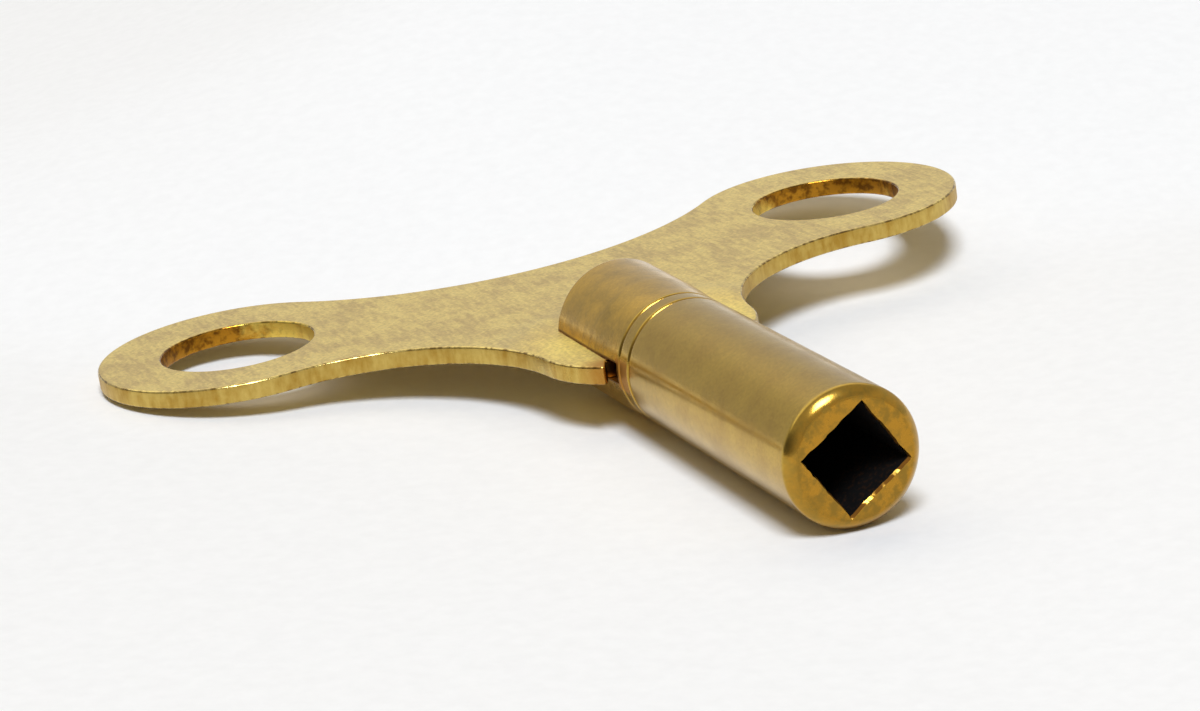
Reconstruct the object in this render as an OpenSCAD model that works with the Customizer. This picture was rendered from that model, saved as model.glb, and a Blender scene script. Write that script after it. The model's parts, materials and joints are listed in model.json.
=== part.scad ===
// Two-wing clock winding key: a flat brass bow plate set in the sawn slot of a turned brass barrel,
// joined by two thin seams of braze. The barrel's front end holds a square socket.
// The key lies level, with its barrel on the table.
// X runs along the wings, Y along the barrel with the socket at the -Y end, Z is up.

/* [Barrel] */
// Length of the barrel, from the socket face to the slotted rear end
barrel_len = 37.8; // [33:0.1:60]
// Diameter of the barrel in front of the grooves
barrel_d = 9; // [8.4:0.1:12]
// Diameter of the slotted tail behind the grooves
tail_d = 9.3; // [8.4:0.1:12]
// Radius of the round on the front rim
rim_r = 0.85; // [0.2:0.05:0.95]
// Radius of the round on the rear rim
tail_rim_r = 0.2; // [0.1:0.05:0.5]

/* [Grooves] */
// Distance from the slot's end to the middle of the rear groove
groove_gap = 0.45; // [0.4:0.05:3]
// Distance between the two grooves
groove_pitch = 1.6; // [1:0.1:3]
// Radius of a groove's half-round section
groove_r = 0.2; // [0.15:0.05:0.4]

/* [Socket] */
// Width of the square socket across its flats
socket_af = 5; // [3:0.1:5.2]
// Depth of the square part of the socket
socket_depth = 16; // [8:0.5:17]
// Turn of the square's upper corner away from the plate's normal, towards the right wing (degrees)
socket_turn = 13; // [0:1:45]
// How much smaller the pilot drill is than the square
pilot_under = 0.2; // [0:0.05:1]
// Length of the pilot hole past the end of the square
pilot_extra = 2; // [1:0.5:3]
// Included angle of the drill point at the bottom of the pilot hole (degrees)
drill_point = 118; // [90:1:140]

/* [Bow plate] */
// Thickness of the brass plate
plate_t = 1.3; // [0.8:0.05:2.5]
// Diameter of the round lobe at each wing's end
lobe_d = 20; // [16:0.1:26]
// Distance between the middles of the two lobes
lobe_span = 46.6; // [40:0.1:60]
// Distance from the barrel's rear end back to the line through the lobes' middles
lobe_back = 16; // [12:0.1:24]
// Diameter of the eye in each lobe
eye_d = 11; // [6:0.1:13]
// Distance of each eye's middle in front of its lobe's middle
eye_forward = 0.25; // [0:0.05:1]
// Distance from the barrel's rear end back to the middle of the plate's back edge
saddle_back = 16.4; // [10:0.1:20]
// Radius of the hollow curve between each wing and the tang
throat_r = 13; // [9:0.1:16]
// Radius of the rounded tang that runs into the barrel
tang_r = 7.7; // [6.5:0.1:10]
// Distance from the barrel's rear end forward to the middle of the tang's round
tang_in = 4.85; // [3:0.05:6]

/* [Joint] */
// Depth of the plate inside the slot
tang_depth = 9.2; // [6:0.1:10.5]
// Free length of slot left in front of the plate
slot_free = 1.4; // [0.2:0.1:4]
// Thickness of the braze seam on each face of the plate
braze_t = 0.06; // [0.03:0.01:0.2]
// Lean of each toe's inner edge away from the barrel (degrees)
toe_lean = 22; // [5:1:40]

/* [Hidden] */
$fn = 96;
plate_brass = "#c8b27a";
barrel_brass = "#a58a48";
braze_bronze = "#9a6a2c";
// Overlap that lets a cutting tool run clear of the face it cuts
cut_over = 1;
// Bite of each hollow curve into the rounds that it meets, so that their arcs cross and do not graze
blend_bite = 0.005;

// Slot, sized round the plate and its two braze seams
slot_w = plate_t + 2 * braze_t;
slot_depth = tang_depth + slot_free;
tang_end_y = barrel_len - tang_depth;

// Turned grooves
groove_rear_y = barrel_len - slot_depth - groove_gap;
groove_front_y = groove_rear_y - groove_pitch;

// Drilled pilot hole under the square
pilot_d = socket_af - pilot_under;
pilot_depth = socket_depth + pilot_extra;
drill_point_len = pilot_d / 2 / tan(drill_point / 2);

// Circles of the plate's outline: lobes and tang, then the hollow curves that touch them
lobe_r = lobe_d / 2;
lobe_x = lobe_span / 2;
lobe_y = barrel_len + lobe_back;
tang_y = barrel_len - tang_in;
saddle_y = barrel_len + saddle_back;
saddle_rise = saddle_y - lobe_y;
saddle_r = (lobe_x ^ 2 + saddle_rise ^ 2 - lobe_r ^ 2) / (2 * (lobe_r - saddle_rise));
saddle_mid = [0, saddle_y + saddle_r];
lobe_mid = [lobe_x, lobe_y];
tang_mid = [0, tang_y];
tang_to_lobe = lobe_mid - tang_mid;
centre_gap = norm(tang_to_lobe);
tang_reach = tang_r + throat_r;
lobe_reach = lobe_r + throat_r;
throat_along = (centre_gap ^ 2 + tang_reach ^ 2 - lobe_reach ^ 2) / (2 * centre_gap);
throat_out = sqrt(tang_reach ^ 2 - throat_along ^ 2);
along_dir = tang_to_lobe / centre_gap;
throat_mid = tang_mid + along_dir * throat_along + [along_dir.y, -along_dir.x] * throat_out;

// Place on the table
axis_height = max(barrel_d, tail_d) / 2;
key_len = lobe_y + lobe_r;

// Sets a piece down on the table, with the key's middle over the origin
module lying() {
    translate([0, -key_len / 2, axis_height]) children();
}

// Turns a profile drawn as radius against distance from the socket face into a body about Y
module turned() {
    rotate([-90, 0, 0]) rotate_extrude() children();
}

// Draws its children at the given place on the right wing and at its mirror image on the left
module both_wings(place) {
    for (side = [1, -1]) translate([side * place.x, place.y]) children();
}

// A length of turned rod in profile, from a plain end to an end with a round on its rim
module rod_profile(radius, plain_y, round_y, round_r) {
    low_y = min(plain_y, round_y);
    rod_len = abs(plain_y - round_y);
    round_mid_y = round_y + sign(plain_y - round_y) * round_r;
    translate([0, low_y]) square([radius - round_r, rod_len]);
    translate([0, min(plain_y, round_mid_y)]) square([radius, rod_len - round_r]);
    translate([radius - round_r, round_mid_y]) circle(r = round_r);
}

// A half-round groove in profile
module groove_profile(y, radius) {
    translate([radius, y]) circle(r = groove_r);
}

// Outline of the bow plate, before its eyes and notch
module bow_outline() {
    difference() {
        polygon([
            lobe_mid, saddle_mid, [-lobe_mid.x, lobe_mid.y],
            [-throat_mid.x, throat_mid.y], tang_mid, throat_mid
        ]);
        translate(saddle_mid) circle(r = saddle_r + blend_bite);
        both_wings(throat_mid) circle(r = throat_r + blend_bite);
    }
    both_wings(lobe_mid) circle(r = lobe_r);
    translate(tang_mid) circle(r = tang_r);
}

// Notch in the tang's end: straight inside the slot, opening out between the two toes
module tang_notch() {
    half_in = tail_d / 2;
    fall = tang_end_y - (tang_y - tang_r) + cut_over;
    half_out = half_in + fall * tan(toe_lean);
    translate([0, tang_end_y]) polygon([
        [-half_in, 0], [half_in, 0], [half_out, -fall], [-half_out, -fall]
    ]);
}

// Flat brass bow with a round eye in each wing
module wing_plate() {
    color(plate_brass) lying() translate([0, 0, -plate_t / 2]) linear_extrude(plate_t) difference() {
        bow_outline();
        tang_notch();
        both_wings([lobe_x, lobe_y - eye_forward]) circle(d = eye_d);
    }
}

// Square socket with its pilot hole and drill point
module socket_cut() {
    rotate([0, 45 + socket_turn, 0]) translate([-socket_af / 2, -cut_over, -socket_af / 2])
        cube([socket_af, socket_depth + cut_over, socket_af]);
    rotate([-90, 0, 0]) cylinder(d = pilot_d, h = pilot_depth);
    translate([0, pilot_depth, 0]) rotate([-90, 0, 0]) cylinder(d1 = pilot_d, d2 = 0, h = drill_point_len);
}

// Sawn slot across the barrel's rear end
module slot_cut() {
    translate([-tail_d, barrel_len - slot_depth, -slot_w / 2])
        cube([2 * tail_d, slot_depth + cut_over, slot_w]);
}

// Turned brass barrel with grooves, socket and slot
module socket_barrel() {
    color(barrel_brass) lying() difference() {
        turned() difference() {
            union() {
                rod_profile(barrel_d / 2, groove_rear_y, 0, rim_r);
                rod_profile(tail_d / 2, groove_rear_y, barrel_len, tail_rim_r);
            }
            groove_profile(groove_rear_y, tail_d / 2);
            groove_profile(groove_front_y, barrel_d / 2);
        }
        socket_cut();
        slot_cut();
    }
}

// Braze seam between one face of the plate and its wall of the slot; side is 1 above and -1 below
module braze_seam(side) {
    seam_z = side > 0 ? plate_t / 2 : -plate_t / 2 - braze_t;
    color(braze_bronze) lying() intersection() {
        turned() rod_profile(tail_d / 2, tang_end_y, barrel_len, tail_rim_r);
        translate([-tail_d, 0, seam_z]) cube([2 * tail_d, barrel_len, braze_t]);
    }
}

module upper_braze_seam() {
    braze_seam(1);
}

module lower_braze_seam() {
    braze_seam(-1);
}

wing_plate();
socket_barrel();
upper_braze_seam();
lower_braze_seam();
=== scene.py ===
"""Dresses the packed clock winding key: a brass bow plate set in a slotted brass barrel, on white paper.

Laid out as an add-on: sizes and colours are properties, each piece is made by an operator, and main() calls
them in order. All lengths are in metres, in the CAD frame: X along the wings, Y along the barrel, Z up.
"""

import json
import math
from functools import partial

import bmesh
import bpy
from bpy.props import FloatProperty, FloatVectorProperty, PointerProperty
from mathutils import Euler, Matrix, Vector


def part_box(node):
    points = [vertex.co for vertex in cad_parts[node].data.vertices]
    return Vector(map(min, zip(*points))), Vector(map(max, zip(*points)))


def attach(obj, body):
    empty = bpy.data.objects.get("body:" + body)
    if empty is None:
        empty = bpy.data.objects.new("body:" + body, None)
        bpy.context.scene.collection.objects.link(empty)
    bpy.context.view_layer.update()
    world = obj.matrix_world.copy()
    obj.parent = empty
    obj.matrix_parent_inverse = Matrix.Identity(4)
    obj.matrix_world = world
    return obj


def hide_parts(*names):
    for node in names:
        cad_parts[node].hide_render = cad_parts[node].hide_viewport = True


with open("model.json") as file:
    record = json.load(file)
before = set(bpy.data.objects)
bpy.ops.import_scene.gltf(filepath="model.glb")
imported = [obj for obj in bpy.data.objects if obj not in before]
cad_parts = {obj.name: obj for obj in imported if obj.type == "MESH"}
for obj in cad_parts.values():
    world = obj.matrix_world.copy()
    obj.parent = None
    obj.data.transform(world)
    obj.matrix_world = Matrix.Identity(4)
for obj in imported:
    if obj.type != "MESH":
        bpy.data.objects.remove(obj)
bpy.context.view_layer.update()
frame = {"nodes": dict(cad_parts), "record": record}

bl_info = {
    "name": "Clock winding key",
    "version": (1, 0, 0),
    "blender": (4, 5, 0),
    "location": "View3D > Sidebar > Clock key",
    "description": "Models and dresses a two-wing brass clock winding key around its CAD frame",
    "category": "Object",
}

MM = 0.001
# Places closer than this count as the same
SAME_PLACE = 0.001 * MM
# How far a cutter runs past the face that it cuts
CUT_OVER = 1 * MM
# Plain bands beside the barrel's rounds, which keep their shading off the straight runs
FACE_BAND, SIDE_BAND, TAPER_BAND, TAIL_BAND = 0.15 * MM, 0.2 * MM, 0.3 * MM, 0.1 * MM

mounts = {mount["name"]: mount for mount in frame["record"]["mounts"]}
eye = mounts["right_eye"]
plate_low, plate_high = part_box("wing_plate")
barrel_low, barrel_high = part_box("socket_barrel")
axis_z = mounts["winding_socket"]["pos_m"][2]


def linear(code):
    """Turns an sRGB hex colour into the linear values that Blender's colour sockets take."""
    parts = [int(code[i:i + 2], 16) / 255 for i in (1, 3, 5)]
    return [part / 12.92 if part <= 0.04045 else ((part + 0.055) / 1.055) ** 2.4 for part in parts] + [1.0]


def length(name, description, millimetres):
    """A length property, with its default given in millimetres."""
    return FloatProperty(
        name=name, description=description, default=millimetres * MM, unit="LENGTH", precision=5)


def angle(name, description, degrees):
    """An angle property, with its default given in degrees."""
    return FloatProperty(name=name, description=description, default=math.radians(degrees), subtype="ANGLE")


def colour(name, description, code):
    """A colour property, with its default given as an sRGB hex value."""
    return FloatVectorProperty(
        name=name, description=description, size=4, min=0, max=1, default=linear(code), subtype="COLOR")


class ClockKeyPlate(bpy.types.PropertyGroup):
    """Sizes of the bow plate"""

    thickness: length("Thickness", "Thickness of the brass sheet", eye["dims"]["length_mm"])
    eye_radius: length("Eye radius", "Radius of the eye in each wing", eye["dims"]["r_mm"])
    lobe_radius: length("Lobe radius", "Radius of the round end of each wing", 10)
    saddle_y: length("Back edge", "Place of the middle of the hollow back edge", 22.3)
    throat_radius: length("Throat radius", "Radius of the hollow between each wing and the tang", 13)
    tang_radius: length("Tang radius", "Radius of the rounded tang", 7.7)
    tang_y: length("Tang middle", "Place of the middle of the tang's round", 1.05)
    tang_end_y: length("Tang end", "Place of the plate's end inside the slot", -3.3)
    toe_lean: angle("Toe lean", "Lean of each toe's inner edge away from the barrel", 22)
    toe_round: length("Toe round", "Radius that the stamping leaves on each toe", 0.45)
    edge_round: length("Edge round", "Radius that the stamping leaves on the sheet's edges", 0.18)
    face_border: length("Face border", "Width of the border between each face and its rounded edge", 0.03)


class ClockKeyBarrel(bpy.types.PropertyGroup):
    """Sizes of the socket barrel"""

    radius: length("Radius", "Radius of the barrel in front of the grooves", 4.5)
    tail_radius: length("Tail radius", "Radius of the slotted tail", (barrel_high.x - barrel_low.x) / 2 / MM)
    rim_edge: length("Rim edge", "Radius at both edges of the front rim's rounded chamfer", 0.5)
    rim_crown: length("Rim crown", "Radius across the middle of the front rim's rounded chamfer", 1.6)
    rim_start: angle("Rim start", "Slope of the front rim where its middle starts", 30)
    rim_end: angle("Rim end", "Slope of the front rim where its middle ends", 55)
    tail_round: length("Tail round", "Radius of the round on the rear rim", 0.2)
    front_groove: length("Front groove", "Distance from the socket face to the front groove", 25.15)
    rear_groove: length("Rear groove", "Distance from the socket face to the rear groove", 26.75)
    groove_bottom: length("Groove bottom", "Radius of the bottom of a groove", 0.06)
    groove_shoulder: length("Groove shoulder", "Radius that rubbing leaves on a groove's shoulders", 0.25)
    groove_slope: angle("Groove slope", "Steepest slope of the sides of a groove", 55)
    tail_taper: length("Tail taper", "Length behind the rear groove over which the tail widens", 4)
    slot_start: length("Slot start", "Distance from the socket face to the end of the sawn slot", 27.2)
    slot_width: length("Slot width", "Width of the sawn slot", 1.42)
    slot_edge: length("Slot edge", "Width of the file's break on the slot's edges", 0.07)
    socket_flats: length("Socket flats", "Width of the square socket across its flats", 5)
    socket_depth: length("Socket depth", "Depth of the square socket", 16)
    socket_turn: angle("Socket turn", "Turn of the square's upper corner towards the right wing", 13)
    socket_edge: length("Socket edge", "Width of the worn flare round the socket's mouth", 0.09)
    socket_wear: length("Socket wear", "How much wider the flare is on the side that turns the clock", 0.07)
    socket_wander: length("Socket wander", "How far the broached walls wander from true", 0.22)
    wander_size: length("Wander size", "Size of the waves in the broached walls", 0.55)
    # A little under the drill's 2.4 mm, so that the square's wandering walls stay clear of the hole
    pilot_radius: length("Pilot radius", "Radius of the pilot hole under the square", 2.36)
    pilot_depth: length("Pilot depth", "Depth of the pilot hole from the socket face", 18)
    drill_point: angle("Drill point", "Included angle of the pilot hole's bottom", 118)


class ClockKeyFinish(bpy.types.PropertyGroup):
    """Colours of the metal and the paper"""

    sheet: colour("Sheet brass", "Clean rolled brass sheet", "#ead07e")
    sheet_clean: colour("Filed sheet", "Sheet filed clean beside the joint", "#f2de80")
    sheet_tarnish: colour("Sheet tarnish", "Tarnished patches of the sheet", "#ccb274")
    sheet_edge: colour("Sheared edge", "Stamped walls of the sheet", "#d0b462")
    edge_stain: colour("Edge stain", "Tarnish on the stamped walls", "#b08a38")
    # Painted light: the lighter colour that the eyes' walls take towards the barrel
    eye_painted_light: colour("Eye clean", "Walls of the eyes where handling keeps them bright", "#f0d264")
    eye_stain: colour("Eye stain", "Old polish and tarnish on the walls of the eyes", "#b88226")
    rod: colour("Rod brass", "Turned brass of the barrel", "#c09e46")
    rod_tail: colour("Tail brass", "Tail of the barrel, warmed by the torch", "#d8ac46")
    rod_tarnish: colour("Rod tarnish", "Tarnish on the barrel", "#b29040")
    rod_face: colour("Faced end", "Faced end of the barrel, round the socket", "#b4842e")
    face_stain: colour("Face stain", "Tarnish on the faced end", "#9a7830")
    braze: colour("Braze", "Clean braze in the joint", "#b07a34")
    # Real heat stain at the joint, also used as painted shade under the eyes' upper rims and as painted dark
    # reflection along the plate's rims
    heat_stain: colour("Heat stain", "Heat stain and old flux at the joint", "#5a3410")
    # Painted shade: the socket's walls are painted near black for the shade deep in the socket, over old oil
    # and oxide
    grime: colour("Socket grime", "Old oil and oxide on the socket's walls", "#060403")
    paper: colour("Paper", "White paper under the key", "#f8f8f7")


class ClockKeyStage(bpy.types.PropertyGroup):
    """Camera, lamp and paper"""

    camera_aim: FloatVectorProperty(
        name="Camera aim", description="Point that the camera looks at", size=3, subtype="XYZ", unit="LENGTH",
        default=(-3.482 * MM, 1.096 * MM, 4.325 * MM))
    camera_distance: length("Camera distance", "Distance from the aim to the camera", 230.136)
    camera_azimuth: angle("Camera azimuth", "Turn of the view from +Y towards +X", 19.022)
    camera_elevation: angle("Camera elevation", "Height of the camera above the horizon", 16.869)
    camera_roll: angle("Camera roll", "Turn of the camera about its line of sight", -8.896)
    lens: FloatProperty(
        name="Lens", description="Focal length on a 36 mm sensor", default=101.952, unit="CAMERA")
    lamp_place: FloatVectorProperty(
        name="Lamp place", description="Place of the soft lamp", size=3, subtype="XYZ", unit="LENGTH",
        default=(-360 * MM, -1600 * MM, 2800 * MM))
    lamp_size: length("Lamp size", "Side of the square soft lamp", 1130)
    lamp_power: FloatProperty(
        name="Lamp power", description="Power of the soft lamp", default=99.3, unit="POWER")
    lamp_tint: colour("Lamp tint", "Colour of the soft lamp", "#edf4ff")
    fill_tint: colour("Fill tint", "Colour of the light that the room adds on the paper", "#ffeed0")
    paper_width: length("Paper width", "Width of the whole paper", 5760)
    paper_middle: length("Paper middle", "Width of the paper's middle, which slopes", 480)
    paper_run: length("Paper run", "Length over which each slope fades out", 80)
    paper_left: length("Paper left", "How far the paper rises on the left", 10.1)
    left_edge: length("Left edge", "Place along the wings where the rise on the left is full", -83.9)
    paper_right: length("Paper right", "How far the paper falls on the right", 2.9)
    right_edge: length("Right edge", "Place along the wings where the fall on the right is full", 79.9)
    paper_back: length("Paper back", "How far the paper rises behind the right wing", 17)
    back_side: length("Back side", "Place along the wings where the rise behind is full", 19.9)
    back_edge: length("Back edge", "Place along the barrel where the rise behind is full", 93.9)


# Modelling in edit mode

def start_vertex(name, place):
    """Adds a mesh of one vertex at a place, and leaves it selected in edit mode."""
    bpy.ops.mesh.primitive_plane_add(size=MM)
    piece = bpy.context.object
    piece.name = piece.data.name = name
    bpy.ops.object.mode_set(mode="EDIT")
    bpy.ops.mesh.select_mode(type="VERT")
    bpy.ops.mesh.merge(type="CENTER")
    bpy.ops.transform.translate(value=place)
    return piece


def line_to(place):
    """Extrudes the selected vertex along a straight line to a place."""
    shape = bmesh.from_edit_mesh(bpy.context.object.data)
    here = next(vertex.co.copy() for vertex in shape.verts if vertex.select)
    bpy.ops.mesh.extrude_region_move(TRANSFORM_OT_translate={"value": Vector(place) - here})


def arc_round(centre, turn, steps):
    """Extrudes the selected vertex round a centre, anticlockwise seen from +Z where turn is positive."""
    # Spin turns clockwise for a positive angle
    bpy.ops.mesh.spin(steps=steps, angle=-turn, center=centre, axis=(0, 0, 1))


def select_parts(kind, test):
    """Selects those edited vertices, edges or faces that pass a test."""
    mesh = bpy.context.object.data
    bpy.ops.mesh.select_mode(type={"verts": "VERT", "edges": "EDGE", "faces": "FACE"}[kind])
    bpy.ops.mesh.select_all(action="DESELECT")
    shape = bmesh.from_edit_mesh(mesh)
    found = [part for part in getattr(shape, kind) if test(part)]
    if not found:
        raise RuntimeError(f"{bpy.context.object.name}: no {kind} found to work on")
    for part in found:
        part.select_set(True)
    bmesh.update_edit_mesh(mesh)


def round_over(radius, steps):
    """Rounds the rim of the selected flat faces, which each step insets and lifts along a quarter circle."""
    for step in range(steps):
        low, high = (math.pi / 2 * at / steps for at in (step, step + 1))
        bpy.ops.mesh.inset(
            thickness=radius * (math.cos(low) - math.cos(high)),
            depth=radius * (math.sin(high) - math.sin(low)))


def off_axis(place):
    """Distance of a place from the barrel's axis."""
    return math.hypot(place.x, place.z - axis_z)


def select_only(piece):
    """Selects one object and makes it the active one."""
    bpy.ops.object.select_all(action="DESELECT")
    piece.select_set(True)
    bpy.context.view_layer.objects.active = piece


def apply_modifier(piece, kind, **settings):
    """Adds one modifier to a piece and applies it."""
    select_only(piece)
    bpy.ops.object.modifier_add(type=kind)
    modifier = piece.modifiers[-1]
    for name, value in settings.items():
        setattr(modifier, name, value)
    bpy.ops.object.modifier_apply(modifier=modifier.name)


def cut_away(piece, cutter):
    """Cuts one object out of a piece and deletes it."""
    apply_modifier(piece, "BOOLEAN", operation="DIFFERENCE", solver="EXACT", object=cutter)
    bpy.data.objects.remove(cutter)


def finish_piece(piece, node, smooth_degrees):
    """Smooths a finished piece, sets its place into its mesh and puts it in its node's stead."""
    select_only(piece)
    bpy.ops.object.transform_apply()
    bpy.ops.object.shade_smooth_by_angle(angle=math.radians(smooth_degrees))
    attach(piece, "root")
    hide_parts(node)


# Materials

def set_inputs(node, inputs):
    """Sets a node's inputs, by name or number. Each gets a value, or a link from a socket or from another
    node's first output in use."""
    for key, value in inputs.items():
        if isinstance(key, str):
            socket = next(entry for entry in node.inputs if entry.enabled and entry.name == key)
        else:
            socket = node.inputs[key]
        if isinstance(value, bpy.types.Node):
            value = next(output for output in value.outputs if output.enabled)
        if isinstance(value, bpy.types.NodeSocket):
            node.id_data.links.new(value, socket)
        else:
            socket.default_value = value


def add_node(tree, kind, inputs=None, **settings):
    """Adds a shader node of a kind, with its settings and its inputs."""
    node = tree.nodes.new("ShaderNode" + kind)
    for name, value in settings.items():
        setattr(node, name, value)
    set_inputs(node, inputs or {})
    return node


def new_material(name):
    """A material, the function that adds its nodes, its shader, its places in millimetres and its normals."""
    material = bpy.data.materials.new(name)
    material.use_nodes = True
    material.node_tree.nodes.clear()
    add = partial(add_node, material.node_tree)
    shader = add("BsdfPrincipled")
    add("OutputMaterial", {"Surface": shader})
    place = add("TexCoord")
    mm = add("Mapping", {"Vector": place.outputs["Object"], "Scale": (1 / MM, 1 / MM, 1 / MM)})
    return material, add, shader, mm, place.outputs["Normal"]


def brass_sheet(finish, plate):
    """Rolled brass sheet, stamped and long used: a satin face with short streaks along the rolling and
    patchy tarnish, a brighter filed tang, mottled sheared walls, worn bright rims with a broken dark
    reflection painted along them, orange stain in the eyes with painted shade under their upper rims and
    painted light towards the barrel, and orange to brown stain beside the joint."""
    material, add, shader, mm, normal = new_material("rolled_brass_sheet_tarnished")
    # Streaks along the rolling, 0.4 mm wide and about 2 mm long
    along = add("Mapping", {"Vector": mm, "Scale": (1, 0.2, 1)})
    streak = add("TexNoise", {"Vector": along, "Scale": 1 / 0.4, "Detail": 4, "Roughness": 0.6})
    # Tarnish in patches of 5 mm, with ragged edges
    patch = add("TexNoise", {"Vector": mm, "Scale": 1 / 5, "Detail": 8, "Roughness": 0.72})
    # Satin grain, really finer than 0.1 mm, drawn at 0.25 mm so that it shows
    grain = add("TexNoise", {"Vector": mm, "Scale": 1 / 0.25, "Detail": 2, "Roughness": 0.6})
    # Shear marks down the stamped walls, 0.5 mm wide
    down = add("Mapping", {"Vector": mm, "Scale": (1, 1, 0.35)})
    shear = add("TexNoise", {"Vector": down, "Scale": 1 / 0.5, "Detail": 3, "Roughness": 0.6})
    # Stain in the eyes, in blots of 0.6 mm
    blot = add("TexNoise", {"Vector": mm, "Scale": 1 / 0.6, "Detail": 2, "Roughness": 0.6})
    # Both wings look alike, so places are measured on the right one
    folded = add("VectorMath", {"Vector": mm}, operation="ABSOLUTE")
    both = add("SeparateXYZ", {"Vector": folded})
    place = add("SeparateXYZ", {"Vector": mm})
    flat = add("CombineXYZ", {"X": both.outputs["X"], "Y": place.outputs["Y"]})
    # The tang, which surrounds the frame's origin, was filed clean after brazing; distances in mm
    from_tang = add("VectorMath", {0: flat}, operation="LENGTH")
    left_dull = add(
        "MapRange", {"Value": from_tang, "From Min": 5, "From Max": 12, "To Min": 0.45, "To Max": 1})
    mixed = add("Mix", {"Factor": 0.6, "A": streak, "B": patch})
    tarnished = add("MapRange", {"Value": mixed, "From Min": 0.44, "From Max": 0.57})
    dulled = add("Math", {0: tarnished, 1: left_dull}, operation="MULTIPLY")
    unfiled = add("MapRange", {"Value": from_tang, "From Min": 4.5, "From Max": 8})
    clean = add("Mix", {"Factor": unfiled, "A": finish.sheet_clean, "B": finish.sheet}, data_type="RGBA")
    face = add("Mix", {"Factor": dulled, "A": clean, "B": finish.sheet_tarnish}, data_type="RGBA")
    grain_shade = add(
        "MapRange", {"Value": grain, "From Min": 0.3, "From Max": 0.7, "To Min": 0.8, "To Max": 1.1})
    grained = add("Mix", {"Factor": 1, "A": face, "B": grain_shade}, data_type="RGBA", blend_type="MULTIPLY")
    # Stamped walls: where the surface stands upright
    facing = add("SeparateXYZ", {"Vector": normal})
    level = add("Math", {"Value": facing.outputs["Z"]}, operation="ABSOLUTE")
    wall_mask = add("MapRange", {"Value": level, "From Min": 0.75, "From Max": 0.35})
    wall_marks = add("Mix", {"Factor": 0.55, "A": shear, "B": patch})
    sheared = add("MapRange", {"Value": wall_marks, "From Min": 0.4, "From Max": 0.62})
    wall = add("Mix", {"Factor": sheared, "A": finish.sheet_edge, "B": finish.edge_stain}, data_type="RGBA")
    walled = add("Mix", {"Factor": wall_mask, "A": grained, "B": wall}, data_type="RGBA")
    eye_place = [value / MM for value in eye["pos_m"][:2]] + [0]
    eye_mm = plate.eye_radius / MM
    # Walls of the eyes: orange stain in blots that painted shade darkens to brown towards the upper rim, with
    # lighter patches of painted light between
    from_eye = add("VectorMath", {0: flat, 1: eye_place}, operation="DISTANCE")
    in_eye = add("MapRange", {"Value": from_eye, "From Min": eye_mm + 0.14, "From Max": eye_mm + 0.04})
    # Painted shade: the wall's blots turn darker brown towards its top, under the upper rim
    shade_under_rim = add(
        "MapRange", {
            "Value": place.outputs["Z"], "From Min": plate_low.z / MM, "From Max": plate_high.z / MM,
            "To Min": -0.06, "To Max": 0.08})
    stain_with_rim_shade = add("Math", {0: blot, 1: shade_under_rim}, operation="SUBTRACT")
    browned = add("MapRange", {"Value": stain_with_rim_shade, "From Min": 0.56, "From Max": 0.34, "To Max": 0.8})
    stain = add("Mix", {"Factor": browned, "A": finish.eye_stain, "B": finish.heat_stain}, data_type="RGBA")
    # Painted light: the walls are made lighter towards the barrel, in patches, to stand for brighter
    # reflections there
    inward = add(
        "MapRange", {
            "Value": both.outputs["X"], "From Min": eye_place[0] + 0.7, "From Max": eye_place[0] - 5.3,
            "To Min": -0.12, "To Max": 0.14})
    patchy_inward_light = add("Math", {0: patch, 1: inward}, operation="ADD")
    painted_light_patches = add("MapRange", {"Value": patchy_inward_light, "From Min": 0.48, "From Max": 0.62, "To Max": 0.85})
    eye_wall = add("Mix", {"Factor": painted_light_patches, "A": stain, "B": finish.eye_painted_light}, data_type="RGBA")
    stained = add("Mix", {"Factor": in_eye, "A": walled, "B": eye_wall}, data_type="RGBA")
    # Braze that ran out onto each toe's end
    toe_place = (5.05, -4.1, 0)
    from_toe = add("VectorMath", {0: flat, 1: toe_place}, operation="DISTANCE")
    at_toe = add("MapRange", {"Value": from_toe, "From Min": 2.2, "From Max": 0.5, "To Max": 0.8})
    brazed = add("Mix", {"Factor": at_toe, "A": stained, "B": finish.braze}, data_type="RGBA")
    # The rims between face and wall are rubbed smooth; the broken dark line along them is mostly painted dark
    # reflection, with some dirt
    off_wall = add("MapRange", {"Value": level, "From Min": 0.25, "From Max": 0.45})
    off_face = add("MapRange", {"Value": level, "From Min": 0.97, "From Max": 0.9})
    rim = add("Math", {0: off_wall, 1: off_face}, operation="MULTIPLY")
    left_dirty = add("MapRange", {"Value": shear, "From Min": 0.48, "From Max": 0.6, "To Max": 0.7})
    rim_dirt_and_dark_reflection = add("Math", {0: rim, 1: left_dirty}, operation="MULTIPLY")
    rimmed = add("Mix", {"Factor": rim_dirt_and_dark_reflection, "A": brazed, "B": finish.heat_stain}, data_type="RGBA")
    satin = add(
        "MapRange", {"Value": mixed, "From Min": 0.35, "From Max": 0.65, "To Min": 0.36, "To Max": 0.5})
    burnish = add("Math", {0: satin, 1: left_dull}, operation="MULTIPLY")
    # Filing left the faces of the tang rougher than its walls
    coarse = add("MapRange", {"Value": from_tang, "From Min": 8, "From Max": 15, "To Min": 0.56, "To Max": 0})
    coarse_face = add("Math", {0: coarse, 1: level}, operation="MULTIPLY")
    filed_satin = add("Math", {0: burnish, 1: coarse_face}, operation="MAXIMUM")
    rough = add("Mix", {"Factor": rim, "A": filed_satin, "B": 0.16})
    scored = add("Mix", {"Factor": 0.45, "A": streak, "B": grain})
    relief = add("Mix", {"Factor": 0.35, "A": scored, "B": shear})
    bump = add("Bump", {"Strength": 0.55, "Distance": 0.06 * MM, "Height": relief})
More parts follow.
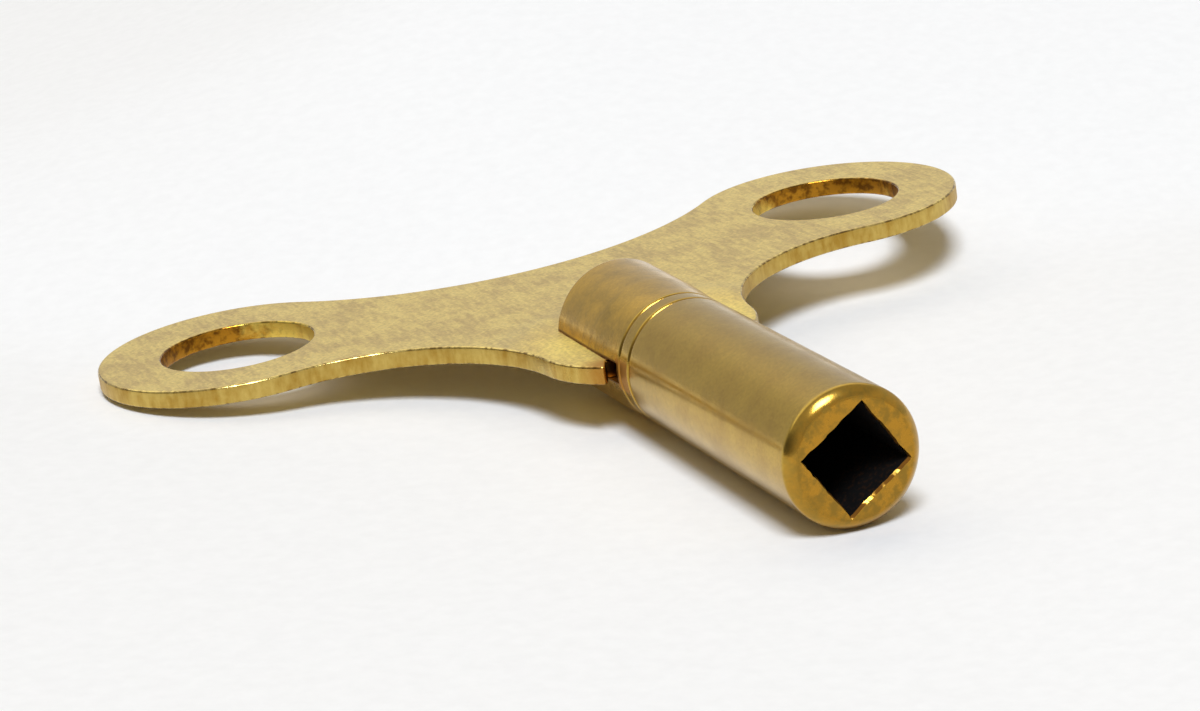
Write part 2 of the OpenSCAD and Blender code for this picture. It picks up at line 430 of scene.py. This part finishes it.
    # File marks on the tang, 1.4 mm wide, that run out towards the toes
    filed = add("Mapping", {"Vector": flat, "Rotation": (0, 0, math.radians(35)), "Scale": (0.6, 1, 1)})
    file_mark = add("TexNoise", {"Vector": filed, "Scale": 1 / 1.4, "Detail": 2, "Roughness": 0.6})
    file_reach = add("MapRange", {"Value": from_tang, "From Min": 10, "From Max": 6, "To Max": 0.15})
    hollowed = add(
        "Bump", {"Strength": file_reach, "Distance": 0.3 * MM, "Height": file_mark, "Normal": bump})
    set_inputs(shader, {"Base Color": rimmed, "Metallic": 1, "Roughness": rough, "Normal": hollowed})
    return material


def brass_rod(finish, barrel):
    """Turned brass rod, polished and dulled by handling: soft long reflections, faint rings from the lathe,
    cloudy tarnish, dirt in the grooves, a mottled orange end face, a warmer tail, and brown stain beside its
    slot."""
    material, add, shader, mm, normal = new_material("turned_brass_rod_handled")
    # Lathe rings, 0.25 mm apart: noise that changes along the barrel only
    ring_place = add("Mapping", {"Vector": mm, "Scale": (0.02, 1, 0.02)})
    rings = add("TexNoise", {"Vector": ring_place, "Scale": 1 / 0.25, "Detail": 3, "Roughness": 0.6})
    # Clouds of tarnish, 2.5 mm
    cloud = add("TexNoise", {"Vector": mm, "Scale": 1 / 2.5, "Detail": 5, "Roughness": 0.62})
    # Blots of stain, 0.7 mm
    blot = add("TexNoise", {"Vector": mm, "Scale": 1 / 0.7, "Detail": 4, "Roughness": 0.62})
    # Scuffs and specks, 0.2 mm
    scuff = add("TexNoise", {"Vector": mm, "Scale": 1 / 0.2, "Detail": 3, "Roughness": 0.55})
    dulled = add("MapRange", {"Value": cloud, "From Min": 0.38, "From Max": 0.66})
    # Places along the barrel, and distances from its axis and from the slot's middle, all in mm
    front_groove, rear_groove, slot_end = (
        (barrel_low.y + place) / MM for place in (barrel.front_groove, barrel.rear_groove, barrel.slot_start))
    rod_mm = barrel.radius / MM
    centred = add("VectorMath", {0: mm, 1: (0, 0, axis_z / MM)}, operation="SUBTRACT")
    across = add("VectorMath", {0: centred, 1: (1, 0, 1)}, operation="MULTIPLY")
    radius = add("VectorMath", {0: across}, operation="LENGTH")
    place = add("SeparateXYZ", {"Vector": centred})
    off_slot = add("Math", {"Value": place.outputs["Z"]}, operation="ABSOLUTE")
    # The torch has warmed the tail
    on_tail = add("Math", {0: place.outputs["Y"], 1: rear_groove + 0.35}, operation="GREATER_THAN")
    bare = add("Mix", {"Factor": on_tail, "A": finish.rod, "B": finish.rod_tail}, data_type="RGBA")
    side = add("Mix", {"Factor": dulled, "A": bare, "B": finish.rod_tarnish}, data_type="RGBA")
    speck_shade = add(
        "MapRange", {"Value": scuff, "From Min": 0.3, "From Max": 0.7, "To Min": 0.9, "To Max": 1.08})
    specked = add("Mix", {"Factor": 1, "A": side, "B": speck_shade}, data_type="RGBA", blend_type="MULTIPLY")
    # The faced end looks along -Y
    facing = add("SeparateXYZ", {"Vector": normal})
    face_mask = add("MapRange", {"Value": facing.outputs["Y"], "From Min": -0.86, "From Max": -0.98})
    blotted = add("MapRange", {"Value": blot, "From Min": 0.42, "From Max": 0.62})
    face = add("Mix", {"Factor": blotted, "A": finish.rod_face, "B": finish.face_stain}, data_type="RGBA")
    # Its colour spreads over the rim, which is as smooth as the side
    face_tint = add("MapRange", {"Value": facing.outputs["Y"], "From Min": -0.2, "From Max": -0.95})
    faced = add("Mix", {"Factor": face_tint, "A": specked, "B": face}, data_type="RGBA")
    # Brown stain on the tail beside the slot, darkest along the seam
    near_slot = add("MapRange", {"Value": off_slot, "From Min": 3.2, "From Max": 0.8, "To Max": 0.35})
    patchy = add("Math", {0: near_slot, 1: blotted}, operation="MULTIPLY")
    at_seam = add("MapRange", {"Value": off_slot, "From Min": 0.92, "From Max": 0.78, "To Max": 0.85})
    heated = add("Math", {0: patchy, 1: at_seam}, operation="MAXIMUM")
    heat_mask = add("Math", {0: heated, 1: on_tail}, operation="MULTIPLY")
    browned = add("Mix", {"Factor": heat_mask, "A": faced, "B": finish.heat_stain}, data_type="RGBA")
    # Braze that ran out past the slot's end, as far as the front groove
    at_end = add("Math", {0: place.outputs["Y"], 1: slot_end - 0.8, 2: 1}, operation="COMPARE")
    by_slot = add("MapRange", {"Value": off_slot, "From Min": 1.3, "From Max": 0.9, "To Max": 0.85})
    end_mask = add("Math", {0: at_end, 1: by_slot}, operation="MULTIPLY")
    brazed = add("Mix", {"Factor": end_mask, "A": browned, "B": finish.braze}, data_type="RGBA")
    # Dirt in the bottom of the grooves
    in_groove = add(
        "MapRange", {"Value": radius, "From Min": rod_mm - 0.06, "From Max": rod_mm - 0.11, "To Max": 0.35})
    between = (front_groove + rear_groove) / 2
    by_groove = add(
        "Math", {0: place.outputs["Y"], 1: between, 2: between - front_groove + 0.5}, operation="COMPARE")
    groove_mask = add("Math", {0: in_groove, 1: by_groove}, operation="MULTIPLY")
    dirtied = add("Mix", {"Factor": groove_mask, "A": brazed, "B": finish.heat_stain}, data_type="RGBA")
    # Dirt on the flare of the socket's mouth, rubbed through to bright metal in a few spots of 1 mm
    sloping = add("Math", {0: facing.outputs["Y"], 1: -0.6, 2: 0.33}, operation="COMPARE")
    in_rim = add("MapRange", {"Value": radius, "From Min": rod_mm - 0.75, "From Max": rod_mm - 0.9})
    flare = add("Math", {0: sloping, 1: in_rim}, operation="MULTIPLY")
    spot = add("TexNoise", {"Vector": mm, "Scale": 1, "Detail": 1})
    left_dirty = add("MapRange", {"Value": spot, "From Min": 0.58, "From Max": 0.52, "To Max": 0.9})
    flare_dirt = add("Math", {0: flare, 1: left_dirty}, operation="MULTIPLY")
    mouthed = add("Mix", {"Factor": flare_dirt, "A": dirtied, "B": finish.heat_stain}, data_type="RGBA")
    rough = add(
        "MapRange", {"Value": cloud, "From Min": 0.35, "From Max": 0.65, "To Min": 0.15, "To Max": 0.23})
    face_rough = add(
        "MapRange", {"Value": blot, "From Min": 0.4, "From Max": 0.6, "To Min": 0.2, "To Max": 0.5})
    worn = add("Mix", {"Factor": face_mask, "A": rough, "B": face_rough})
    # What the torch has stained is rough
    torched = add("Math", {0: heat_mask, 1: end_mask}, operation="MAXIMUM")
    scaled = add("Mix", {"Factor": torched, "A": worn, "B": 0.5})
    caked = add("Mix", {"Factor": flare_dirt, "A": scaled, "B": 0.7})
    turned = add("Mix", {"Factor": 0.45, "A": rings, "B": scuff})
    # The end face is the more uneven
    relief = add("Mix", {"Factor": face_mask, "A": turned, "B": blot})
    bump = add("Bump", {"Strength": 0.3, "Distance": 0.025 * MM, "Height": relief})
    set_inputs(shader, {"Base Color": mouthed, "Metallic": 1, "Roughness": caked, "Normal": bump})
    return material


def socket_grime_and_shade(finish):
    """Broached brass under old oil and oxide, painted almost black as the shade deep in the socket, with a
    dull sheen and grainy dirt.
    """
    material, add, shader, mm, _ = new_material("broached_socket_grime")
    # Dirt in grains of 0.3 mm
    grain = add("TexNoise", {"Vector": mm, "Scale": 1 / 0.3, "Detail": 4, "Roughness": 0.6})
    thin = add("MapRange", {"Value": grain, "From Min": 0.5, "From Max": 0.8, "To Max": 0.3})
    dirt = add("Mix", {"Factor": thin, "A": finish.grime, "B": finish.heat_stain}, data_type="RGBA")
    bump = add("Bump", {"Strength": 0.4, "Distance": 0.03 * MM, "Height": grain})
    set_inputs(shader, {"Base Color": dirt, "Roughness": 0.75, "Specular IOR Level": 0.2, "Normal": bump})
    return material


def stained_braze(name, finish):
    """Brass filler left from brazing: coppery where it is clean, brown to black with heat stain and flux."""
    material, add, shader, mm, _ = new_material(name)
    # Heat stain in blots of 0.8 mm
    blot = add("TexNoise", {"Vector": mm, "Scale": 1 / 0.8, "Detail": 4, "Roughness": 0.6})
    heated = add("MapRange", {"Value": blot, "From Min": 0.35, "From Max": 0.6})
    mixed = add("Mix", {"Factor": heated, "A": finish.braze, "B": finish.heat_stain}, data_type="RGBA")
    rough = add("MapRange", {"Value": blot, "From Min": 0.3, "From Max": 0.7, "To Min": 0.4, "To Max": 0.7})
    bump = add("Bump", {"Strength": 0.4, "Distance": 0.03 * MM, "Height": blot})
    set_inputs(shader, {"Base Color": mixed, "Metallic": 1, "Roughness": rough, "Normal": bump})
    return material


def white_paper(finish):
    """Uncoated white paper: flat white with a trace of fibre."""
    material, add, shader, mm, _ = new_material("uncoated_white_paper")
    # Fibre, really finer, drawn at 1.2 mm so that it shows
    fibre = add("TexNoise", {"Vector": mm, "Scale": 1 / 1.2, "Detail": 4, "Roughness": 0.6})
    shade = add("MapRange", {"Value": fibre, "From Min": 0.3, "From Max": 0.7, "To Min": 0.965, "To Max": 1})
    tinted = add("Mix", {"Factor": 1, "A": finish.paper, "B": shade}, data_type="RGBA", blend_type="MULTIPLY")
    set_inputs(shader, {"Base Color": tinted, "Roughness": 0.9, "Specular IOR Level": 0.1})
    return material


# Operators

class CLOCKKEY_OT_bow_plate(bpy.types.Operator):
    """Models the bow plate: half its outline spun arc by arc, mirrored, filled, raised and rounded over"""

    bl_idname = "clock_key.bow_plate"
    bl_label = "Bow plate"

    def execute(self, context):
        plate = context.scene.clock_key_plate
        low_z = axis_z - plate.thickness / 2 + plate.edge_round
        lobe = Vector((plate_high.x - plate.lobe_radius, plate_high.y - plate.lobe_radius, low_z))
        tang = Vector((0, plate.tang_y, low_z))
        # The back edge's circle touches both lobes, each throat's circle touches its lobe and the tang
        rise = plate.saddle_y - lobe.y
        saddle_radius = (lobe.x ** 2 + rise ** 2 - plate.lobe_radius ** 2) / (2 * (plate.lobe_radius - rise))
        saddle = Vector((0, plate.saddle_y + saddle_radius, low_z))
        apart = lobe - tang
        tang_reach = plate.tang_radius + plate.throat_radius
        lobe_reach = plate.lobe_radius + plate.throat_radius
        along = (apart.length_squared + tang_reach ** 2 - lobe_reach ** 2) / (2 * apart.length)
        out = math.sqrt(tang_reach ** 2 - along ** 2)
        ahead = apart.normalized()
        throat = tang + ahead * along + Vector((ahead.y, -ahead.x, 0)) * out
        # The toe's tip, where the notch's leaning side meets the tang's round
        inner = Vector((context.scene.clock_key_barrel.tail_radius, plate.tang_end_y, low_z))
        lean = Vector((math.sin(plate.toe_lean), -math.cos(plate.toe_lean), 0))
        back = (inner - tang).dot(lean)
        far = (inner - tang).length_squared - plate.tang_radius ** 2
        toe = inner + lean * (math.sqrt(back ** 2 - far) - back)

        def bearing(centre, place):
            return math.atan2(place.y - centre.y, place.x - centre.x)

        piece = start_vertex("bow_plate", (0, plate.saddle_y, low_z))
        arc_round(saddle, bearing(saddle, lobe) + math.pi / 2, steps=48)
        arc_round(lobe, bearing(lobe, throat) - bearing(lobe, saddle), steps=120)
        arc_round(throat, bearing(throat, tang) - bearing(throat, lobe), steps=60)
        arc_round(tang, bearing(tang, toe) - bearing(tang, throat), steps=12)
        line_to(inner)
        line_to((0, inner.y, low_z))
        select_parts("verts", lambda vertex: (vertex.co - toe).length < SAME_PLACE)
        bpy.ops.mesh.bevel(affect="VERTICES", offset=plate.toe_round, segments=6)
        bpy.ops.mesh.primitive_circle_add(
            vertices=144, radius=plate.eye_radius, location=(eye["pos_m"][0], eye["pos_m"][1], low_z))
        bpy.ops.object.mode_set(mode="OBJECT")
        apply_modifier(piece, "MIRROR", use_axis=(True, False, False), merge_threshold=SAME_PLACE)
        bpy.ops.object.mode_set(mode="EDIT")
        bpy.ops.mesh.select_all(action="SELECT")
        bpy.ops.mesh.fill()
        bpy.ops.mesh.extrude_region_move(
            TRANSFORM_OT_translate={"value": (0, 0, plate.thickness - 2 * plate.edge_round)})
        bpy.ops.mesh.select_all(action="SELECT")
        bpy.ops.mesh.normals_make_consistent()
        for up in (1, -1):
            select_parts("faces", lambda face: face.normal.z * up > 0.99)
            round_over(plate.edge_round, steps=4)
            # A narrow border keeps the rounding's shading off the flat face
            bpy.ops.mesh.inset(thickness=plate.face_border)
        bpy.ops.object.mode_set(mode="OBJECT")
        piece.data.materials.append(brass_sheet(context.scene.clock_key_finish, plate))
        finish_piece(piece, "wing_plate", smooth_degrees=40)
        return {"FINISHED"}


class CLOCKKEY_OT_socket_barrel(bpy.types.Operator):
    """Models the barrel: its profile drawn from socket face to tail and spun, then the socket and slot cut"""

    bl_idname = "clock_key.socket_barrel"
    bl_label = "Socket barrel"

    def execute(self, context):
        barrel = context.scene.clock_key_barrel
        front_y, back_y = barrel_low.y, barrel_high.y

        def at(radius, distance):
            return Vector((radius, front_y + distance, axis_z))

        tail_rim = barrel.tail_round
        whole = back_y - front_y
        quarter = math.pi / 2
        # The front rim, bend by bend: the slopes where each starts and ends, and its radius
        bends = (
            (0, barrel.rim_start, barrel.rim_edge), (barrel.rim_start, barrel.rim_end, barrel.rim_crown),
            (barrel.rim_end, quarter, barrel.rim_edge))
        out = barrel.radius - sum(bend * (math.sin(end) - math.sin(start)) for start, end, bend in bends)
        back = 0
        piece = start_vertex("key_barrel", at(0, 0))
        line_to(at(out - FACE_BAND, 0))
        line_to(at(out, 0))
        for start, end, bend in bends:
            arc_round(at(out - bend * math.sin(start), back + bend * math.cos(start)), end - start, steps=4)
            out += bend * (math.sin(end) - math.sin(start))
            back += bend * (math.cos(start) - math.cos(end))
        line_to(at(barrel.radius, back + SIDE_BAND))
        self.groove(barrel, at, barrel.front_groove)
        self.groove(barrel, at, barrel.rear_groove)
        # The plate spread the slotted tail a little
        taper_end = barrel.rear_groove + barrel.tail_taper
        line_to(at(barrel.tail_radius, taper_end))
        line_to(at(barrel.tail_radius, taper_end + TAPER_BAND))
        line_to(at(barrel.tail_radius, whole - tail_rim - TAIL_BAND))
        line_to(at(barrel.tail_radius, whole - tail_rim))
        arc_round(at(barrel.tail_radius - tail_rim, whole - tail_rim), quarter, steps=5)
        line_to(at(0, whole))
        bpy.ops.mesh.select_all(action="SELECT")
        bpy.ops.mesh.spin(steps=192, angle=2 * math.pi, center=(0, 0, axis_z), axis=(0, 1, 0))
        bpy.ops.mesh.select_all(action="SELECT")
        bpy.ops.mesh.remove_doubles(threshold=2 * SAME_PLACE)
        bpy.ops.mesh.normals_make_consistent()
        bpy.ops.object.mode_set(mode="OBJECT")
        cut_away(piece, self.socket_broach(barrel, front_y))
        cut_away(piece, self.pilot_drill(barrel, front_y))
        cut_away(piece, self.slot_saw(barrel, front_y, back_y))
        self.break_edges(barrel)
        finish = context.scene.clock_key_finish
        for material in (
                brass_rod(finish, barrel), socket_grime_and_shade(finish), stained_braze("heat_stained_slot", finish)):
            piece.data.materials.append(material)
        self.colour_hollows(piece, barrel, front_y)
        finish_piece(piece, "socket_barrel", smooth_degrees=35)
        return {"FINISHED"}

    def groove(self, barrel, at, middle):
        """Draws one turned groove: a round bottom between two shoulders rubbed round."""
        slope, shoulder, bottom = barrel.groove_slope, barrel.groove_shoulder, barrel.groove_bottom
        shoulder_run, bottom_run = shoulder * math.sin(slope), bottom * math.sin(slope)
        side = barrel.radius - shoulder * (1 - math.cos(slope))
        front, rear = middle - bottom_run - shoulder_run, middle + bottom_run + shoulder_run
        line_to(at(barrel.radius, front - SIDE_BAND))
        line_to(at(barrel.radius, front))
        arc_round(at(barrel.radius - shoulder, front), slope, steps=6)
        arc_round(at(side + bottom * math.cos(slope), middle), -2 * slope, steps=6)
        arc_round(at(barrel.radius - shoulder, rear), slope, steps=6)
        line_to(at(barrel.radius, rear + SIDE_BAND))

    def socket_broach(self, barrel, front_y):
        """A square bar with slightly wandering walls, flared at the mouth, as the worn socket is."""
        flare_deep = barrel.socket_edge + barrel.socket_wear
        start = front_y + flare_deep
        deep = barrel.socket_depth - flare_deep
        bpy.ops.mesh.primitive_cube_add(
            size=1, location=(0, start + deep / 2, axis_z), rotation=(0, math.pi / 4 + barrel.socket_turn, 0),
            scale=(barrel.socket_flats, deep, barrel.socket_flats))
        broach = bpy.context.object
        bpy.ops.object.transform_apply()
        bpy.ops.object.mode_set(mode="EDIT")
        bpy.ops.mesh.subdivide(number_cuts=24)
        bpy.ops.object.mode_set(mode="OBJECT")
        wander = bpy.data.textures.new("broach_wander", "CLOUDS")
        wander.noise_scale = barrel.wander_size
        wander.noise_depth = 2
        apply_modifier(
            broach, "DISPLACE", texture=wander, strength=barrel.socket_wander, mid_level=0.55,
            texture_coords="LOCAL")
        # The bar's ends are made flat again, and the front one drawn out to the flare and past the face
        near_end = 0.3 * MM
        bpy.ops.object.mode_set(mode="EDIT")
        for end in (start + deep, start):
            select_parts(
                "faces", lambda face: all(abs(vertex.co.y - end) < near_end for vertex in face.verts))
            bpy.ops.transform.resize(value=(1, 0, 1), center_override=(0, end, axis_z))
        bpy.ops.mesh.extrude_region_move(TRANSFORM_OT_translate={"value": (0, -flare_deep, 0)})
        flare = 1 + 2 * barrel.socket_edge / barrel.socket_flats
        bpy.ops.transform.resize(value=(flare, 1, flare), center_override=(0, front_y, axis_z))
        worn_side = barrel.socket_turn + math.pi / 4
        bpy.ops.transform.translate(
            value=(barrel.socket_wear * math.cos(worn_side), 0, -barrel.socket_wear * math.sin(worn_side)))
        bpy.ops.mesh.extrude_region_move(TRANSFORM_OT_translate={"value": (0, -CUT_OVER, 0)})
        bpy.ops.object.mode_set(mode="OBJECT")
        return broach

    def pilot_drill(self, barrel, front_y):
        """A drill of the pilot's radius with a conical point."""
        depth = barrel.pilot_depth - barrel.socket_depth / 2
        start = front_y + barrel.socket_depth / 2
        bpy.ops.mesh.primitive_cylinder_add(
            vertices=64, radius=barrel.pilot_radius, depth=depth, location=(0, start + depth / 2, axis_z),
            rotation=(-math.pi / 2, 0, 0))
        drill = bpy.context.object
        bpy.ops.object.transform_apply()
        bpy.ops.object.mode_set(mode="EDIT")
        select_parts("faces", lambda face: face.normal.y > 0.99)
        point = barrel.pilot_radius / math.tan(barrel.drill_point / 2)
        bpy.ops.mesh.extrude_region_move(TRANSFORM_OT_translate={"value": (0, point, 0)})
        bpy.ops.mesh.merge(type="CENTER")
        bpy.ops.object.mode_set(mode="OBJECT")
        return drill

    def slot_saw(self, barrel, front_y, back_y):
        """A block of the slot's width, from the slot's end past the rear face."""
        start, end = front_y + barrel.slot_start, back_y + CUT_OVER
        bpy.ops.mesh.primitive_cube_add(
            size=1, location=(0, (start + end) / 2, axis_z),
            scale=(4 * barrel.tail_radius, end - start, barrel.slot_width))
        saw = bpy.context.object
        bpy.ops.object.transform_apply()
        return saw

    def break_edges(self, barrel):
        """Takes the sharpness off the slot's long edges."""

        def at_slot(edge):
            return all(
                abs(abs(vertex.co.z - axis_z) - barrel.slot_width / 2) < SAME_PLACE
                and off_axis(vertex.co) > barrel.radius - 10 * SAME_PLACE
                for vertex in edge.verts)

        bpy.ops.object.mode_set(mode="EDIT")
        select_parts("edges", at_slot)
        bpy.ops.mesh.bevel(offset=barrel.slot_edge, segments=2, affect="EDGES", clamp_overlap=True)
        bpy.ops.object.mode_set(mode="OBJECT")

    def colour_hollows(self, piece, barrel, front_y):
        """Gives the socket's walls their near-black oil and oxide, painted that dark as the shade deep in the
        socket, and the slot's walls their heat stain.
        """
        flare_end = front_y + barrel.socket_edge + barrel.socket_wear
        slot_end = front_y + barrel.slot_start
        # A little more than the distance from the axis to the square's corners
        socket_reach = 0.75 * barrel.socket_flats

        def in_socket(face):
            middle = face.calc_center_median()
            return off_axis(middle) < socket_reach and flare_end < middle.y < slot_end - CUT_OVER

        def in_slot(face):
            middle = face.calc_center_median()
            near = off_axis(middle) < barrel.tail_radius - barrel.slot_edge
            inside = abs(middle.z - axis_z) < barrel.slot_width / 2 + SAME_PLACE
            return near and inside and middle.y > slot_end - SAME_PLACE

        bpy.ops.object.mode_set(mode="EDIT")
        for index, test in ((1, in_socket), (2, in_slot)):
            select_parts("faces", test)
            piece.active_material_index = index
            bpy.ops.object.material_slot_assign()
        bpy.ops.object.mode_set(mode="OBJECT")


class CLOCKKEY_OT_braze_seams(bpy.types.Operator):
    """Finishes the two braze seams, whose CAD shapes stay, with heat-stained filler metal"""

    bl_idname = "clock_key.braze_seams"
    bl_label = "Braze seams"

    def execute(self, context):
        filler = stained_braze("heat_stained_braze", context.scene.clock_key_finish)
        for name in ("upper_braze_seam", "lower_braze_seam"):
            seam = frame["nodes"][name]
            seam.data.materials.clear()
            seam.data.materials.append(filler)
        return {"FINISHED"}


class CLOCKKEY_OT_stage(bpy.types.Operator):
    """Sets the key on white paper under one soft lamp, with the camera at the photograph's place"""

    bl_idname = "clock_key.stage"
    bl_label = "Stage"

    def execute(self, context):
        stage = context.scene.clock_key_stage
        self.paper(stage, context.scene.clock_key_finish)
        self.camera(context, stage)
        self.lamp(stage)
        self.room(context.scene, stage)
        context.scene.view_settings.view_transform = "Standard"
        return {"FINISHED"}

    def paper(self, stage, finish):
        """A sheet that lies under the barrel and slopes gently to the left, to the right and behind."""
        bpy.ops.mesh.primitive_grid_add(x_subdivisions=120, y_subdivisions=120, size=stage.paper_middle)
        sheet = bpy.context.object
        sheet.name = "paper"
        bpy.ops.object.mode_set(mode="EDIT")
        slopes = (
            (lambda place: place.x < stage.left_edge, stage.paper_left),
            (lambda place: place.x > stage.right_edge, -stage.paper_right),
            (lambda place: place.x > stage.back_side and place.y > stage.back_edge, stage.paper_back))
        for on_slope, lift in slopes:
            select_parts("verts", lambda vertex: on_slope(vertex.co))
            bpy.ops.transform.translate(
                value=(0, 0, lift), use_proportional_edit=True, proportional_edit_falloff="LINEAR",
                proportional_size=stage.paper_run)
        bpy.ops.mesh.select_all(action="SELECT")
        bpy.ops.mesh.vertices_smooth(factor=0.5, repeat=4)
        # The rest of the paper runs on past the edges of the view
        select_parts("edges", lambda edge: edge.is_boundary)
        bpy.ops.mesh.extrude_region_move()
        spread = stage.paper_width / stage.paper_middle
        bpy.ops.transform.resize(value=(spread, spread, 1), center_override=(0, 0, 0))
        bpy.ops.mesh.select_all(action="SELECT")
        bpy.ops.mesh.normals_make_consistent()
        bpy.ops.object.mode_set(mode="OBJECT")
        bpy.ops.object.shade_smooth()
        sheet.data.materials.append(white_paper(finish))

    def camera(self, context, stage):
        """A long lens that looks down past the left of the barrel."""
        level = Euler((math.pi / 2 - stage.camera_elevation, 0, -stage.camera_azimuth)).to_matrix()
        turned = level @ Matrix.Rotation(stage.camera_roll, 3, "Z")
        place = Vector(stage.camera_aim) + turned @ Vector((0, 0, stage.camera_distance))
        bpy.ops.object.camera_add(location=place, rotation=turned.to_euler())
        camera = context.object
        camera.data.sensor_width = 36
        camera.data.lens = stage.lens
        camera.data.clip_start = 10 * MM
        context.scene.camera = camera

    def lamp(self, stage):
        """One square soft lamp, above and in front, a little to the left."""
        place = Vector(stage.lamp_place)
        bpy.ops.object.light_add(
            type="AREA", location=place, rotation=place.to_track_quat("Z", "Y").to_euler())
        lamp = bpy.context.object
        lamp.name = "soft_lamp"
        lamp.data.shape = "SQUARE"
        lamp.data.size = stage.lamp_size
        lamp.data.energy = stage.lamp_power
        lamp.data.color = stage.lamp_tint[:3]

    def room(self, scene, stage):
        """A pale room: a bright ceiling behind and a dim one in front, over walls that the metal shows as
        middle grey and that add a little warm light on the paper."""
        world = bpy.data.worlds.new("pale_room")
        world.use_nodes = True
        world.node_tree.nodes.clear()
        add = partial(add_node, world.node_tree)
        place = add("TexCoord")
        way = add("SeparateXYZ", {"Vector": place.outputs["Generated"]})
        ceiling = add(
            "MapRange", {
                "Value": way.outputs["Y"], "From Min": 0.05, "From Max": 0.4, "To Min": 0.15, "To Max": 1.2},
            interpolation_type="SMOOTHSTEP")
        walls = add(
            "MapRange", {
                "Value": way.outputs["X"], "From Min": -0.45, "From Max": 0.45,
                "To Min": 0.54, "To Max": 0.66})
        dim_left = add(
            "MapRange", {
                "Value": way.outputs["X"], "From Min": -0.95, "From Max": -0.6, "To Min": 0.25, "To Max": 1})
        dim_walls = add("Math", {0: walls, 1: dim_left}, operation="MULTIPLY")
        bright = add("Math", {0: ceiling, 1: 0.5}, operation="MAXIMUM")
        overhead = add(
            "MapRange", {"Value": way.outputs["Z"], "From Min": 0.42, "From Max": 0.62},
            interpolation_type="SMOOTHSTEP")
        lit = add("Mix", {"Factor": overhead, "A": 0.14, "B": ceiling})
        mirrored = add("Mix", {"Factor": overhead, "A": dim_walls, "B": bright})
        fill = add("Math", {0: lit, 1: 0.85}, operation="MULTIPLY")
        path = add("LightPath")
        seen = add(
            "Math", {0: path.outputs["Is Camera Ray"], 1: path.outputs["Is Glossy Ray"]}, operation="MAXIMUM")
        shown = add("Math", {0: seen, 1: path.outputs["Is Transmission Ray"]}, operation="MAXIMUM")
        strength = add("Mix", {"Factor": shown, "A": fill, "B": mirrored})
        tint = add("Mix", {"Factor": shown, "A": stage.fill_tint, "B": (1, 1, 1, 1)}, data_type="RGBA")
        light = add("Background", {"Strength": strength, "Color": tint})
        add("OutputWorld", {"Surface": light})
        scene.world = world


class CLOCKKEY_PT_panel(bpy.types.Panel):
    """Lists the key's pieces, sizes and colours"""

    bl_idname = "CLOCKKEY_PT_panel"
    bl_label = "Clock winding key"
    bl_space_type = "VIEW_3D"
    bl_region_type = "UI"
    bl_category = "Clock key"

    def draw(self, context):
        for operator in operators:
            self.layout.operator(operator.bl_idname)
        for name in groups:
            settings = getattr(context.scene, name)
            box = self.layout.box()
            box.label(text=settings.__doc__)
            for prop in settings.bl_rna.properties:
                if prop.identifier not in ("rna_type", "name"):
                    box.prop(settings, prop.identifier)


groups = {
    "clock_key_plate": ClockKeyPlate,
    "clock_key_barrel": ClockKeyBarrel,
    "clock_key_finish": ClockKeyFinish,
    "clock_key_stage": ClockKeyStage,
}
operators = (CLOCKKEY_OT_bow_plate, CLOCKKEY_OT_socket_barrel, CLOCKKEY_OT_braze_seams, CLOCKKEY_OT_stage)


def register():
    for group in groups.values():
        bpy.utils.register_class(group)
    for operator in operators:
        bpy.utils.register_class(operator)
    bpy.utils.register_class(CLOCKKEY_PT_panel)
    for name, group in groups.items():
        setattr(bpy.types.Scene, name, PointerProperty(type=group))


def unregister():
    for name in groups:
        delattr(bpy.types.Scene, name)
    bpy.utils.unregister_class(CLOCKKEY_PT_panel)
    for operator in reversed(operators):
        bpy.utils.unregister_class(operator)
    for group in reversed(groups.values()):
        bpy.utils.unregister_class(group)


def main():
    register()
    bpy.ops.clock_key.bow_plate()
    bpy.ops.clock_key.socket_barrel()
    bpy.ops.clock_key.braze_seams()
    bpy.ops.clock_key.stage()


if __name__ == "__main__":
    main()
